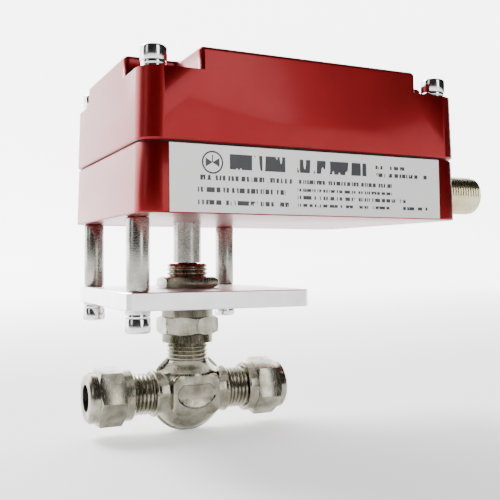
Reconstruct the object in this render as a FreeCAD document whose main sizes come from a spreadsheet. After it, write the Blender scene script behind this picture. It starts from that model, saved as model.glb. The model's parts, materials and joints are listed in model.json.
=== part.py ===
import FreeCAD, Part

import math
import os
import re

import Sketcher

# An electrically actuated needle valve: a stainless valve body with two tube fittings hangs by its panel
# thread from an aluminium plate, and three posts carry a cast actuator housing above the plate.
# Frame: origin at the mouth of the inlet tube bore, on the flow axis; +X along the flow, +Y to the back,
# +Z up along the valve stem. Millimetres and degrees.

Vector = FreeCAD.Vector

# The driving sizes: alias, value, meaning.
SIZES = (
    ("valve_length", 64.0, "from one tube nut's mouth to the other"),
    ("plate_underside", 27.2, "mounting plate's underside above the flow axis"),
    ("plate_thick", 5.0, "mounting plate"),
    ("plate_margin", 4.0, "plate beyond the post axes"),
    ("post_span_x", 47.0, "between post axes, along X"),
    ("post_span_y", 50.8, "between post axes, along Y"),
    ("post_dia", 6.35, "standoff post"),
    ("post_length", 20.5, "plate to housing"),
    ("housing_length", 100.0, "along X at the bottom edge"),
    ("housing_depth", 77.8, "along Y at the bottom edge"),
    ("stem_from_left", 28.6, "stem axis from the housing's left side"),
    ("stem_from_front", 44.7, "stem axis from the housing's front side"),
    ("base_height", 18.0, "housing base"),
    ("gasket_thick", 0.4, "sealing sheet between base and cover"),
    ("cover_height", 24.8, "housing cover"),
    ("draft_angle", 1.6, "draft of the cast sides"),
    ("corner_radius", 6.0, "castings' upright corners"),
    ("edge_radius", 1.2, "cover's top edges"),
    ("seam_chamfer", 0.5, "both castings at the seam"),
    ("cover_overhang", 0.25, "cover stands proud of the base"),
    ("wall_thick", 3.0, "castings' sides"),
    ("base_floor", 4.0, "base casting's floor"),
    ("cover_roof", 3.0, "cover casting's top"),
    ("notch_length", 16.0, "corner notch along X"),
    ("notch_width", 17.5, "corner notch along Y"),
    ("notch_depth", 6.2, "corner notch down from the top"),
    ("cover_screw_x", 5.5, "cover screw from the side, along X"),
    ("cover_screw_y", 6.5, "cover screw from the side, along Y"),
    ("screw_boss", 5.5, "casting left around a cover screw"),
    ("screw_dia", 4.0, "M4 screws and studs"),
    ("screw_head_dia", 7.0, "M4 socket head"),
    ("screw_head_height", 4.0, "M4 socket head"),
    ("screw_socket", 3.0, "M4 socket, across flats"),
    ("lock_washer_dia", 6.7, "split washer"),
    ("lock_washer_thick", 1.1, "split washer"),
    ("flat_washer_dia", 7.0, "narrow flat washer"),
    ("flat_washer_thick", 1.0, "narrow flat washer"),
    ("cover_screw_length", 30.0, "below its head"),
    ("plate_screw_length", 14.0, "below its head"),
    ("thread_gap", 0.05, "radial gap of a screwed or pushed-in fit"),
    ("running_gap", 0.05, "radial gap of a running fit"),
    ("seat_gap", 0.02, "radial gap of a pushed-on fit"),
    ("label_length", 84.0, "rating label"),
    ("label_from_left", 7.6, "rating label"),
    ("label_thick", 0.15, "rating label"),
    ("label_margin", 0.3, "bare casting above and below the label"),
    ("inlet_dia", 12.0, "M12 connector shell"),
    ("inlet_from_front", 15.0, "connector axis from the front side"),
    ("inlet_height", 8.9, "connector axis above the housing's bottom"),
    ("inlet_reach", 15.9, "connector beyond the housing's side"),
    ("inlet_inner", 5.0, "connector inside the wall"),
    ("inlet_pitch", 1.0, "M12 connector thread"),
    ("inlet_rim", 1.2, "connector shell's wall around its socket"),
    ("inlet_boss_wall", 2.0, "casting left around the connector, inside"),
    ("pin_dia", 1.0, "connector pin"),
    ("seal_dia", 1.2, "section of the connector's sealing ring"),
    ("seal_seat", 1.4, "radial width of the sealing ring's seat"),
    ("tube_dia", 8.0, "tube that the fittings take"),
    ("tube_gap", 0.05, "radial gap around the tube"),
    ("nut_flats", 16.0, "tube nut, across flats"),
    ("nut_nose_dia", 15.2, "tube nut's round nose"),
    ("nut_nose_length", 2.7, "tube nut's round nose"),
    ("nut_hex_length", 7.9, "tube nut's hexagon"),
    ("nut_skirt_dia", 15.5, "tube nut's round skirt"),
    ("nut_skirt_length", 2.9, "tube nut's round skirt"),
    ("nut_nose_edge", 0.8, "turned-off edge of the round nose"),
    ("nut_skirt_edge", 0.4, "turned-off edge of the round skirt"),
    ("nut_mouth_length", 4.0, "tube nut's plain bore"),
    ("nut_mouth_step", 0.9, "first radial step inside the tube nut"),
    ("nut_mouth_flare", 2.0, "length over which the bore opens to the thread"),
    ("fitting_thread_dia", 12.7, "valve arm and panel threads"),
    ("thread_pitch", 1.27, "valve arm, neck and panel threads"),
    ("thread_depth", 0.7, "valve arm, neck and panel threads"),
    ("arm_dia", 14.0, "valve arm"),
    ("arm_in_nut", 9.0, "valve arm's end from the tube nut's mouth"),
    ("arm_thread_length", 11.0, "thread on each valve arm"),
    ("ferrule_seat", 3.2, "flared mouth that the front ferrule seats in"),
    ("ferrule_slope", 0.45, "flared mouth's radius gained per length"),
    ("ferrule_nose", 0.4, "front ferrule's nose from the end of the flare"),
    ("ferrule_gap", 0.1, "between ferrules and the nut's inner step"),
    ("back_ferrule_length", 2.1, "along the tube"),
    ("back_ferrule_edge", 0.5, "full-width end of the back ferrule"),
    ("back_ferrule_wall", 1.3, "back ferrule's thickest wall"),
    ("back_ferrule_tail", 0.8, "back ferrule's wall at the nut"),
    ("tube_depth", 17.0, "tube goes in this far from the nut's mouth"),
    ("globe_radius", 12.2, "forged body seen from the front"),
    ("globe_half_depth", 8.0, "forged body, front to back"),
    ("shoulder_step", 3.5, "shoulder's foot inside the forged body's radius"),
    ("pad_length", 15.0, "flat pad on the body's front"),
    ("pad_height", 12.3, "flat pad on the body's front"),
    ("pad_reach", 8.8, "pad face from the stem axis"),
    ("neck_dia", 13.0, "threaded neck"),
    ("neck_start", 9.7, "thread start above the flow axis"),
    ("neck_top", 20.0, "above the flow axis"),
    ("flow_dia", 3.0, "passages beside the seat"),
    ("seat_dia", 4.4, "seat orifice"),
    ("seat_height", 1.0, "seat plane above the flow axis"),
    ("chamber_dia", 7.2, "chamber around the stem"),
    ("needle_gap", 0.05, "needle to seat when closed"),
    ("needle_taper", 0.57, "needle radius gained per height"),
    ("needle_reach", 0.8, "needle below the seat plane"),
    ("bonnet_bottom", 15.4, "bonnet skirt's lower edge above the flow axis"),
    ("bonnet_skirt_length", 2.6, "bonnet's round skirt"),
    ("bonnet_skirt_dia", 15.8, "bonnet's round skirt"),
    ("bonnet_flats", 17.0, "bonnet and panel nut, across flats"),
    ("bonnet_hex_length", 5.4, "bonnet's hexagon"),
    ("bonnet_collar_dia", 16.0, "collar under the plate"),
    ("bonnet_rise", 7.6, "panel thread above the plate"),
    ("panel_nut_thick", 3.4, "panel nut"),
    ("stem_dia", 6.3, "valve stem"),
    ("stem_neck_dia", 4.9, "stem inside its coupling"),
    ("packing_dia", 10.0, "packing chamber"),
    ("packing_length", 5.0, "stem packing"),
    ("gland_length", 4.0, "packing gland"),
    ("coupling_dia", 8.6, "stem coupling"),
    ("coupling_top", 0.8, "coupling above the housing's bottom, valve closed"),
    ("coupling_gap", 0.3, "coupling above the bonnet, valve closed"),
    ("set_screw_sink", 0.2, "set screw below the coupling's surface"),
    ("stem_grip", 5.0, "stem inside its coupling"),
    ("drive_square", 4.5, "output shaft's square, across flats"),
    ("drive_square_reach", 4.0, "square below the housing's bottom"),
    ("socket_depth", 7.8, "coupling's square socket"),
    ("set_screw_dia", 2.5, "coupling's set screw"),
    ("shaft_dia", 8.0, "output shaft"),
    ("clip_thick", 0.6, "output shaft's retaining ring"),
    ("bearing_dia", 16.0, "output shaft's ball bearings"),
    ("bearing_width", 5.0, "output shaft's ball bearings"),
    ("bearing_ring", 1.3, "wall of each bearing ring"),
    ("bearing_recess", 0.3, "shield below the rings' faces"),
    ("bearing_sill", 3.5, "lower bearing above the housing's bottom"),
    ("gear_module", 0.5, "all gears"),
    ("pressure_angle", 25.0, "all gears"),
    ("backlash", 0.06, "play between meshing teeth"),
    ("output_teeth", 60.0, "output gear"),
    ("pinion_teeth", 12.0, "motor pinion and intermediate pinion"),
    ("wheel_teeth", 48.0, "intermediate wheel"),
    ("sensor_teeth", 20.0, "position sensor's gear"),
    ("output_gear_floor", 9.5, "output gear above the housing's bottom"),
    ("output_gear_width", 4.0, "output gear"),
    ("wheel_width", 3.0, "intermediate wheel"),
    ("gear_stack_gap", 1.0, "between gears that pass over each other"),
    ("arbor_dia", 3.0, "intermediate gear's arbor and motor shaft"),
    ("gear_plate_floor", 19.0, "gear plate above the housing's bottom"),
    ("gear_plate_thick", 6.0, "gear plate"),
    ("gear_plate_sill", 1.0, "lip under the upper bearing"),
    ("gear_plate_half", 24.0, "gear plate, half its depth"),
    ("gear_plate_gap", 1.0, "gear plate to the casting's inside"),
    ("gear_plate_edge", 1.0, "plate left outside the pieces that it holds"),
    ("gear_plate_tab", 12.0, "gear plate's left tab, half its depth"),
    ("spacer_dia", 5.0, "gear plate spacers"),
    ("plate_screw_dia", 2.5, "gear plate screws"),
    ("motor_side", 28.0, "stepper motor, square"),
    ("motor_length", 14.5, "stepper motor"),
    ("motor_pilot_dia", 10.0, "stepper motor's pilot"),
    ("sensor_dia", 12.0, "position sensor"),
    ("sensor_length", 10.0, "position sensor"),
    ("board_length", 54.0, "circuit board"),
    ("board_height", 31.0, "circuit board"),
    ("board_thick", 1.6, "circuit board"),
    ("board_floor", 6.5, "circuit board above the housing's bottom"),
    ("board_from_front", 14.0, "circuit board from the housing's front"),
    ("board_gap", 3.0, "circuit board to the casting's inside"),
    ("capacitor_dia", 4.8, "capacitor"),
    ("capacitor_height", 5.5, "capacitor"),
    ("hole_depth_spare", 1.0, "holes past what goes in them, and cutters past the face they open on"),
)

# Places that follow from the driving sizes.
PLACES = {
    "stem_x": "valve_length / 2",
    "plate_top": "plate_underside + plate_thick",
    "housing_bottom": "plate_top + post_length",
    "housing_left": "stem_x - stem_from_left",
    "draft_slope": "tan(draft_angle * 1 deg)",
    "seam_inset": "base_height * draft_slope",
    "cover_floor": "base_height + gasket_thick",
    "cover_inset": "seam_inset - cover_overhang",
    "notch_floor": "cover_height - notch_depth",
    "notch_inset": "cover_inset + notch_floor * draft_slope",
    "top_inset": "cover_inset + cover_height * draft_slope",
    "screw_hole": "screw_dia / 2 + thread_gap",
    "screw_clear": "screw_dia / 2 + 5 * thread_gap",
    "tube_hole": "tube_dia / 2 + tube_gap",
    "small_screw_hole": "plate_screw_dia / 2 + thread_gap",
    "thread_radius": "fitting_thread_dia / 2",
    "nut_length": "nut_nose_length + nut_hex_length + nut_skirt_length",
    "arm_thread_end": "valve_length / 2 - arm_in_nut",
    "arm_length": "arm_thread_end - arm_thread_length",
    "passage_end": "valve_length / 2 - tube_depth + flow_dia / 4",
    "bonnet_hex_bottom": "bonnet_bottom + bonnet_skirt_length",
    "bonnet_hex_top": "bonnet_hex_bottom + bonnet_hex_length",
    "bonnet_top": "plate_top + bonnet_rise",
    "packing_floor": "bonnet_top - gland_length - packing_length",
    "coupling_bottom": "bonnet_top + coupling_gap",
    "coupling_length": "housing_bottom + coupling_top - coupling_bottom",
    "output_gear_top": "output_gear_floor + output_gear_width",
    "wheel_floor": "output_gear_top + gear_stack_gap",
    "wheel_top": "wheel_floor + wheel_width",
    "idler_floor": "output_gear_floor - gear_stack_gap / 2",
    "gear_plate_top": "gear_plate_floor + gear_plate_thick",
    "bearing_top": "bearing_sill + bearing_width",
    "idler_x": "gear_module * (output_teeth + pinion_teeth) / 2",
    "motor_x": "idler_x + gear_module * (wheel_teeth + pinion_teeth) / 2",
    "sensor_y": "gear_module * (output_teeth + sensor_teeth) / 2",
    "board_y": "board_from_front - stem_from_front",
    "board_left": "notch_length + wall_thick + board_gap - stem_from_left",
    "board_back": "board_y + board_thick",
    "tab_left": "top_inset + wall_thick + gear_plate_gap - stem_from_left",
    "gear_plate_left": "notch_length + wall_thick + 2 * gear_plate_gap - stem_from_left",
    "gear_plate_right": "motor_x + motor_side / 2 + gear_plate_edge",
    "needle_radius": "seat_dia / 2 - needle_gap",
    "needle_top": "seat_height + (stem_dia / 2 - needle_radius) / needle_taper",
}

# Counts and turns that aren't lengths.
FLANK_STEPS = 5
WEB_HOLES = 5
HEX_TURN = 30.0
INLET_NUT_TURN = -25.0
OUTLET_NUT_TURN = 12.5
SPARE = "hole_depth_spare"

doc = FreeCAD.newDocument("zone_valve")
sheet = doc.addObject("Spreadsheet::Sheet", "sizes")


def fill_sheet():
    for row, (alias, value, meaning) in enumerate(SIZES, start=1):
        sheet.set(f"A{row}", alias)
        sheet.set(f"B{row}", str(value))
        sheet.setAlias(f"B{row}", alias)
        sheet.set(f"C{row}", meaning)
    doc.recompute()


ALIASES = {alias for alias, _, _ in SIZES}


def formula(text):
    """The spreadsheet expression for a formula in the sheet's aliases and the named places."""

    def word(match):
        name = match.group(0)
        if name in PLACES:
            return "(" + formula(PLACES[name]) + ")"
        return "sizes." + name if name in ALIASES else name

    return re.sub(r"[A-Za-z_]+", word, str(text))


def value(text):
    return float(sheet.evalExpression(formula(text)))


def bind(item, **properties):
    for name, text in properties.items():
        item.setExpression(name, formula(text))
    return item


def put(part, x="0", y="0", z="0", axis=None, angle=0.0):
    """Places a sub-part: turned about an axis through its own origin, then moved to x, y, z."""
    if axis:
        part.Placement = FreeCAD.Placement(Vector(), FreeCAD.Rotation(Vector(*axis), angle))
    for name, text in zip("xyz", (x, y, z)):
        part.setExpression("Placement.Base." + name, formula(text))
    return part


def cylinder(name, radius, height, x="0", y="0", z="0", axis=None, angle=0.0):
    item = doc.addObject("Part::Cylinder", name)
    bind(item, Radius=radius, Height=height)
    return put(item, x, y, z, axis, angle)


def block(name, length, width, height, x="0", y="0", z="0"):
    """A block that starts at x and z and is centred on y."""
    item = doc.addObject("Part::Box", name)
    bind(item, Length=length, Width=width, Height=height)
    return put(item, x, f"({y}) - ({width}) / 2", z)


def prism(name, flats, height, z="0", turn=0.0):
    item = doc.addObject("Part::Prism", name)
    item.Polygon = 6
    bind(item, Circumradius=f"({flats}) / 2 / cos(30 deg)", Height=height)
    return put(item, z=z, axis=(0, 0, 1), angle=turn)


def joined(name, parts):
    item = doc.addObject("Part::MultiFuse", name)
    item.Shapes = parts
    item.Refine = True
    return item


def cut(name, base, tools):
    item = doc.addObject("Part::Cut", name)
    item.Base = base
    item.Tool = tools[0] if len(tools) == 1 else joined(name + "_tools", tools)
    item.Refine = True
    return item


def common(name, first, second):
    item = doc.addObject("Part::Common", name)
    item.Base = first
    item.Tool = second
    return item


def copies(name, pattern, places, axis=None, angle=0.0):
    """One node of identical pieces: linked copies of the pattern at the places."""
    links = []
    for number, place in enumerate(places, start=1):
        link = doc.addObject("App::Link", f"{name}_{number}")
        link.LinkedObject = pattern
        link.LinkTransform = False
        links.append(put(link, *place, axis=axis, angle=angle))
    group = doc.addObject("Part::Compound", name)
    group.Links = links
    return group


def outline(body, name, role, points, height="0"):
    """A closed sketch of straight lines on a body's origin plane, each corner held by two formulas."""
    sketch = body.newObject("Sketcher::SketchObject", name)
    plane = next(item for item in body.Origin.OriginFeatures if item.Role == role)
    sketch.AttachmentSupport = [(plane, "")]
    sketch.MapMode = "FlatFace"
    sketch.setExpression("AttachmentOffset.Base.z", formula(height))
    corners = [Vector(value(u), value(v), 0) for u, v in points]
    count = len(corners)
    for i, corner in enumerate(corners):
        sketch.addGeometry(Part.LineSegment(corner, corners[(i + 1) % count]), False)
    for i in range(count):
        sketch.addConstraint(Sketcher.Constraint("Coincident", i, 2, (i + 1) % count, 1))
    for i, (u, v) in enumerate(points):
        for kind, text, now in (("DistanceX", u, corners[i].x), ("DistanceY", v, corners[i].y)):
            index = sketch.addConstraint(Sketcher.Constraint(kind, -1, 1, i, 1, now))
            sketch.setExpression(f"Constraints[{index}]", formula(text))
    return sketch


def turned(name, points):
    """A body turned about its own Z axis from an outline of (radius, height) corners."""
    body = doc.addObject("PartDesign::Body", name)
    sketch = outline(body, name + "_outline", "XZ_Plane", points)
    turn = body.newObject("PartDesign::Revolution", name + "_turn")
    turn.Profile = sketch
    turn.ReferenceAxis = (sketch, ["V_Axis"])
    turn.Angle = 360.0
    return body


def pad(body, name, points, length, height="0", taper=None):
    feature = body.newObject("PartDesign::Pad", name)
    feature.Profile = outline(body, name + "_outline", "XY_Plane", points, height)
    bind(feature, Length=length)
    if taper:
        bind(feature, TaperAngle=taper)
    return feature


def flat_part(name, points, thickness):
    body = doc.addObject("PartDesign::Body", name)
    pad(body, name + "_pad", points, thickness)
    return body


def rectangle(x0, y0, x1, y1):
    return [(x0, y0), (x1, y0), (x1, y1), (x0, y1)]


def housing_rectangle(inset):
    return rectangle(inset, inset, f"housing_length - ({inset})", f"housing_depth - ({inset})")


def cross_outline(inset, corner_x, corner_y):
    """The housing's rectangle, set in all round, less corner_x by corner_y at each corner."""
    x0, x1 = inset, corner_x
    x2, x3 = f"housing_length - ({corner_x})", f"housing_length - ({inset})"
    y0, y1 = inset, corner_y
    y2, y3 = f"housing_depth - ({corner_y})", f"housing_depth - ({inset})"
    return [
        (x1, y0), (x2, y0), (x2, y1), (x3, y1), (x3, y2), (x2, y2),
        (x2, y3), (x1, y3), (x1, y2), (x0, y2), (x0, y1), (x1, y1),
    ]  # fmt: skip


def ridges(radius, depth, pitch, start, end):
    """Outline corners of a thread drawn as rings: from start to end at the crest radius."""
    count = int(value(f"(({end}) - ({start})) / ({pitch})"))
    points = []
    for i in range(count):
        foot = f"({start}) + {i} * ({pitch})"
        points.append((f"({radius}) - ({depth})", foot))
        points.append((radius, f"{foot} + 0.4 * ({pitch})"))
        points.append((radius, f"{foot} + 0.6 * ({pitch})"))
    points.append((f"({radius}) - ({depth})", f"({start}) + {count} * ({pitch})"))
    points.append((f"({radius}) - ({depth})", end))
    return points


def upright_edges(shape, low, high):
    """Names of the edges that run from height low to height high."""
    names = []
    for number, edge in enumerate(shape.Edges, start=1):
        box = edge.BoundBox
        if abs(box.ZMin - low) < 0.01 and abs(box.ZMax - high) < 0.01:
            names.append(f"Edge{number}")
    return names


def level_edges(shape, level):
    """Names of the edges that lie wholly at one height."""
    return upright_edges(shape, level, level)


def dress(body, kind, base, names, size):
    feature = body.newObject("PartDesign::" + kind, f"{base.Name}_{kind.lower()}")
    feature.Base = (base, names)
    bind(feature, **{"Radius" if kind == "Fillet" else "Size": size})
    doc.recompute()
    return feature


# ---------------------------------------------------------------- fasteners


def cap_screw(name, shank, head, head_height, socket, length):
    """A socket-head screw: head above its own origin, shank below."""
    edge = f"({head_height}) / 8"
    blank = turned(
        name + "_blank",
        [
            ("0", f"-({length})"),
            (f"({shank}) / 2 - ({edge})", f"-({length})"),
            (f"({shank}) / 2", f"-({length}) + ({edge})"),
            (f"({shank}) / 2", "0"),
            (f"({head}) / 2", "0"),
            (f"({head}) / 2", f"({head_height}) - ({edge})"),
            (f"({head}) / 2 - ({edge})", head_height),
            ("0", head_height),
        ],
    )
    depth = f"({head_height}) / 2"
    return cut(name, blank, [prism(name + "_socket", socket, head_height, z=depth)])


def ring(name, inner, outer, height):
    return turned(name, rectangle(inner, "0", outer, height))


def split_washer(name):
    washer = ring(name + "_ring", "screw_clear", "lock_washer_dia / 2", "lock_washer_thick")
    gap = block(name + "_split", "lock_washer_dia", "lock_washer_thick / 2", "lock_washer_thick")
    return cut(name, washer, [gap])


M4_HEAD = ("screw_dia", "screw_head_dia", "screw_head_height", "screw_socket")


def screw_corners():
    """The four cover screws' axes from the housing's front left corner."""
    return [
        (x, y)
        for x in ("cover_screw_x", "housing_length - cover_screw_x")
        for y in ("cover_screw_y", "housing_depth - cover_screw_y")
    ]


def screw_places(height):
    """The four cover screws' axes at a height above the housing's bottom."""
    return [
        (f"housing_left + {x}", f"-stem_from_front + {y}", f"housing_bottom + {height}")
        for x, y in screw_corners()
    ]


def post_places(height):
    """The three posts' axes: front left, back left and back right."""
    signs = (("-", "-"), ("-", ""), ("", ""))
    return [(f"stem_x + {i}post_span_x / 2", f"{j}post_span_y / 2", height) for i, j in signs]


def cover_fasteners():
    floor = "cover_floor + notch_floor"
    flat = ring("cover_washer", "screw_clear", "flat_washer_dia / 2", "flat_washer_thick")
    split = split_washer("cover_split_washer")
    screw = cap_screw("cover_screw", *M4_HEAD, "cover_screw_length")
    seat = f"{floor} + flat_washer_thick"
    return [
        copies("cover_flat_washers", flat, screw_places(floor)),
        copies("cover_lock_washers", split, screw_places(seat)),
        copies("cover_screws", screw, screw_places(f"{seat} + lock_washer_thick")),
    ]


def plate_fasteners():
    down = {"axis": (1, 0, 0), "angle": 180.0}
    flat = ring("plate_washer", "screw_clear", "flat_washer_dia / 2", "flat_washer_thick")
    split = split_washer("plate_split_washer")
    screw = cap_screw("plate_screw", *M4_HEAD, "plate_screw_length")
    seat = "plate_underside - flat_washer_thick"
    return [
        copies("plate_flat_washers", flat, post_places("plate_underside"), **down),
        copies("plate_lock_washers", split, post_places(seat), **down),
        copies("plate_screws", screw, post_places(f"{seat} - lock_washer_thick"), **down),
    ]


# ---------------------------------------------------------------- housing


def housing_base():
    body = doc.addObject("PartDesign::Body", "housing_base_casting")
    shell = pad(body, "base_block", housing_rectangle("0"), "base_height", taper="-draft_angle")
    doc.recompute()
    height = value("base_height")
    corners = dress(body, "Fillet", shell, upright_edges(shell.Shape, 0, height), "corner_radius")
    seam = dress(body, "Chamfer", corners, level_edges(corners.Shape, height), "seam_chamfer")
    foot = dress(body, "Fillet", seam, level_edges(seam.Shape, 0), "seam_chamfer")
    hollow = body.newObject("PartDesign::Pocket", "base_hollow")
    inset = "seam_inset + wall_thick"
    corner = cross_outline(inset, "cover_screw_x + screw_boss", "cover_screw_y + screw_boss")
    hollow.Profile = outline(body, "base_hollow_outline", "XY_Plane", corner, "base_height")
    bind(hollow, Length="base_height - base_floor")
    doc.recompute()
    if hollow.Shape.Volume >= foot.Shape.Volume:
        raise RuntimeError("the housing base wasn't hollowed")
    put(body, "housing_left", "-stem_from_front", "housing_bottom")

    bosses = [body]
    stud_depth = "base_floor + screw_dia"
    low = f"housing_bottom + base_floor - {SPARE}"
    for number, (x, y, _) in enumerate(post_places("0"), start=1):
        bosses.append(cylinder(f"post_boss_{number}", "screw_dia", f"screw_dia + {SPARE}", x, y, low))
    bosses.append(
        cylinder(
            "bearing_boss", "bearing_dia / 2 + wall_thick", f"bearing_top - base_floor + {SPARE}",
            "stem_x", "0", low,
        )  # fmt: skip
    )
    bosses.append(
        cylinder(
            "arbor_boss", "arbor_dia", f"idler_floor - gear_stack_gap / 5 - base_floor + {SPARE}",
            "stem_x + idler_x", "0", low,
        )  # fmt: skip
    )
    inlet_y = "inlet_from_front - stem_from_front"
    inlet_z = "housing_bottom + inlet_height"
    bosses.append(
        cylinder(
            "inlet_boss", "inlet_dia / 2 + inlet_boss_wall", "2 * wall_thick",
            "housing_left + housing_length - seam_inset - 3 * wall_thick", inlet_y, inlet_z, (0, 1, 0), 90.0,
        )  # fmt: skip
    )

    holes = [
        cylinder("base_shaft_hole", "coupling_dia / 2 + coupling_gap", "base_height",
                 "stem_x", "0", f"housing_bottom - {SPARE}"),
        cylinder("base_bearing_seat", "bearing_dia / 2 + thread_gap", "base_height",
                 "stem_x", "0", "housing_bottom + bearing_sill"),
        cylinder("base_arbor_hole", "arbor_dia / 2 + thread_gap", "base_height",
                 "stem_x + idler_x", "0", "housing_bottom + base_floor"),
        cylinder("base_inlet_hole", "inlet_dia / 2 + thread_gap", "5 * wall_thick",
                 "housing_left + housing_length - 4 * wall_thick", inlet_y, inlet_z, (0, 1, 0), 90.0),
        cylinder("base_inlet_seat", "inlet_dia / 2 + seal_seat", "2 * wall_thick",
                 "housing_left + housing_length - wall_thick / 2", inlet_y, inlet_z, (0, 1, 0), 90.0),
    ]  # fmt: skip
    for number, (x, y, _) in enumerate(post_places("0"), start=1):
        foot = f"housing_bottom - {SPARE}"
        holes.append(cylinder(f"post_hole_{number}", "screw_hole", f"{stud_depth} + {SPARE}", x, y, foot))
    depth = "cover_screw_length - cover_height + screw_dia"
    for number, (x, y, z) in enumerate(screw_places(f"base_height - ({depth})"), start=1):
        holes.append(cylinder(f"cover_screw_hole_{number}", "screw_hole", f"{depth} + {SPARE}", x, y, z))
    for number, (x, y, z) in enumerate(spacer_places("base_floor / 4"), start=1):
        holes.append(cylinder(f"spacer_hole_{number}", "small_screw_hole", "base_floor", x, y, z))
    return cut("housing_base", joined("housing_base_solid", bosses), holes)


def cover_gasket():
    blank = flat_part("gasket_blank", housing_rectangle("seam_inset + 2 * seam_chamfer"), "gasket_thick")
    doc.recompute()
    uprights = upright_edges(blank.Tip.Shape, 0, value("gasket_thick"))
    dress(blank, "Fillet", blank.Tip, uprights, "corner_radius")
    inset = "seam_inset + wall_thick"
    corner = cross_outline(inset, "cover_screw_x + screw_boss", "cover_screw_y + screw_boss")
    hollow = flat_part("gasket_hollow", corner, "gasket_thick")
    for part in (blank, hollow):
        put(part, "housing_left", "-stem_from_front", "housing_bottom + base_height")
    tools = [hollow]
    for number, (x, y, z) in enumerate(screw_places("base_height"), start=1):
        tools.append(cylinder(f"gasket_hole_{number}", "screw_clear", "gasket_thick", x, y, z))
    return cut("cover_gasket", blank, tools)


def cover_slab():
    """The cover's lower part, up to the floors of the corner notches."""
    body = doc.addObject("PartDesign::Body", "cover_slab")
    slab = pad(body, "cover_slab_pad", housing_rectangle("cover_inset"), "notch_floor", taper="-draft_angle")
    doc.recompute()
    corners = dress(body, "Fillet", slab, upright_edges(slab.Shape, 0, value("notch_floor")), "corner_radius")
    dress(body, "Chamfer", corners, level_edges(corners.Shape, 0), "seam_chamfer")
    return body


def cover_crown():
    """The cover's upper part, between the corner notches."""
    body = doc.addObject("PartDesign::Body", "cover_crown")
    corner = cross_outline("notch_inset", "notch_length", "notch_width")
    crown = pad(body, "cover_crown_pad", corner, "notch_depth", height="notch_floor", taper="-draft_angle")
    doc.recompute()
    floor, height = value("notch_floor"), value("cover_height")
    uprights = dress(body, "Fillet", crown, upright_edges(crown.Shape, floor, height), "1.25 * edge_radius")
    dress(body, "Fillet", uprights, level_edges(uprights.Shape, height), "edge_radius")
    return body


def housing_cover():
    solid = joined("housing_cover_solid", [cover_slab(), cover_crown()])
    corner = cross_outline("top_inset + wall_thick", "notch_length + wall_thick", "notch_width + wall_thick")
    tools = [flat_part("cover_hollow", corner, "cover_height - cover_roof")]
    for number, (x, y) in enumerate(screw_corners(), start=1):
        tools.append(cylinder(f"cover_hole_{number}", "screw_clear", "cover_height", x, y))
    cover = cut("housing_cover", solid, tools)
    return put(cover, "housing_left", "-stem_from_front", "housing_bottom + cover_floor")


LEANING_BACK = -1.0


def rating_label():
    item = doc.addObject("Part::Box", "rating_label")
    bind(item, Length="label_length", Width="label_thick", Height="base_height - 2 * label_margin")
    put(
        item, "housing_left + label_from_left", "-stem_from_front - 1.1 * label_thick",
        "housing_bottom + label_margin", (1, 0, 0), LEANING_BACK,
    )  # fmt: skip
    item.setExpression("Placement.Rotation.Angle", formula("-draft_angle * 1 deg"))
    return item


# ---------------------------------------------------------------- electrical inlet

INLET_X = "housing_left + housing_length"
INLET = (INLET_X, "inlet_from_front - stem_from_front", "housing_bottom + inlet_height")
ALONG_X = {"axis": (0, 1, 0), "angle": 90.0}
AGAINST_X = {"axis": (0, 1, 0), "angle": -90.0}
INLET_PINS = 4


def connector_shell():
    radius, depth = "inlet_dia / 2", "0.4 * inlet_pitch"
    inner = "-wall_thick - inlet_inner"
    shell = turned(
        "connector_shell",
        [
            ("inlet_dia / 3", inner),
            (radius, inner),
            (radius, "inlet_pitch / 2"),
            *ridges(radius, depth, "inlet_pitch", "inlet_pitch", "inlet_reach - 0.7 * inlet_pitch"),
            (f"{radius} - 0.5 * {depth}", "inlet_reach"),
            (f"{radius} - inlet_rim", "inlet_reach"),
            (f"{radius} - inlet_rim", "inlet_reach / 4"),
            ("inlet_dia / 3", "inlet_reach / 4"),
        ],
    )
    return put(shell, *INLET, **ALONG_X)


def pin_places():
    places = [("0", "0")]
    for i in range(INLET_PINS):
        angle = 45 + 360 * i / INLET_PINS
        places.append((f"inlet_dia / 5 * cos({angle} deg)", f"inlet_dia / 5 * sin({angle} deg)"))
    return places


def connector_insert():
    blank = turned(
        "connector_insert_blank",
        rectangle("0", "-wall_thick - inlet_inner", "inlet_dia / 3 - thread_gap", "inlet_reach / 3"),
    )
    holes = [
        cylinder(f"pin_hole_{i}", "pin_dia / 2 + thread_gap", "2 * inlet_reach", x, y, "-inlet_reach")
        for i, (x, y) in enumerate(pin_places(), start=1)
    ]
    return put(cut("connector_insert", blank, holes), *INLET, **ALONG_X)


def connector_pins():
    start = "-wall_thick - inlet_inner - 3 * pin_dia"
    pattern = cylinder("connector_pin", "pin_dia / 2", f"0.8 * inlet_reach - ({start})")
    group = copies("connector_pins", pattern, [(x, y, start) for x, y in pin_places()])
    return put(group, *INLET, **ALONG_X)


def connector_seal():
    seal = doc.addObject("Part::Torus", "connector_seal")
    bind(seal, Radius1="inlet_dia / 2 + seal_seat / 2", Radius2="seal_dia / 2")
    x, y, z = INLET
    return put(seal, f"{x} - wall_thick / 2 + seal_dia / 2 + thread_gap", y, z, **ALONG_X)


# ---------------------------------------------------------------- posts and plate


def standoffs():
    posts = []
    names = ("standoff_front_left", "standoff_back_left", "standoff_back_right")
    for name, place in zip(names, post_places("plate_top")):
        post = cylinder(name + "_bar", "post_dia / 2", "post_length")
        low = cylinder(name + "_low_hole", "screw_hole", "plate_screw_length - plate_thick", z=f"-{SPARE}")
        top = f"post_length - 2 * screw_dia + {SPARE}"
        high = cylinder(name + "_high_hole", "screw_hole", "2 * screw_dia", z=top)
        posts.append(put(cut(name, post, [low, high]), *place))
    return posts


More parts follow.
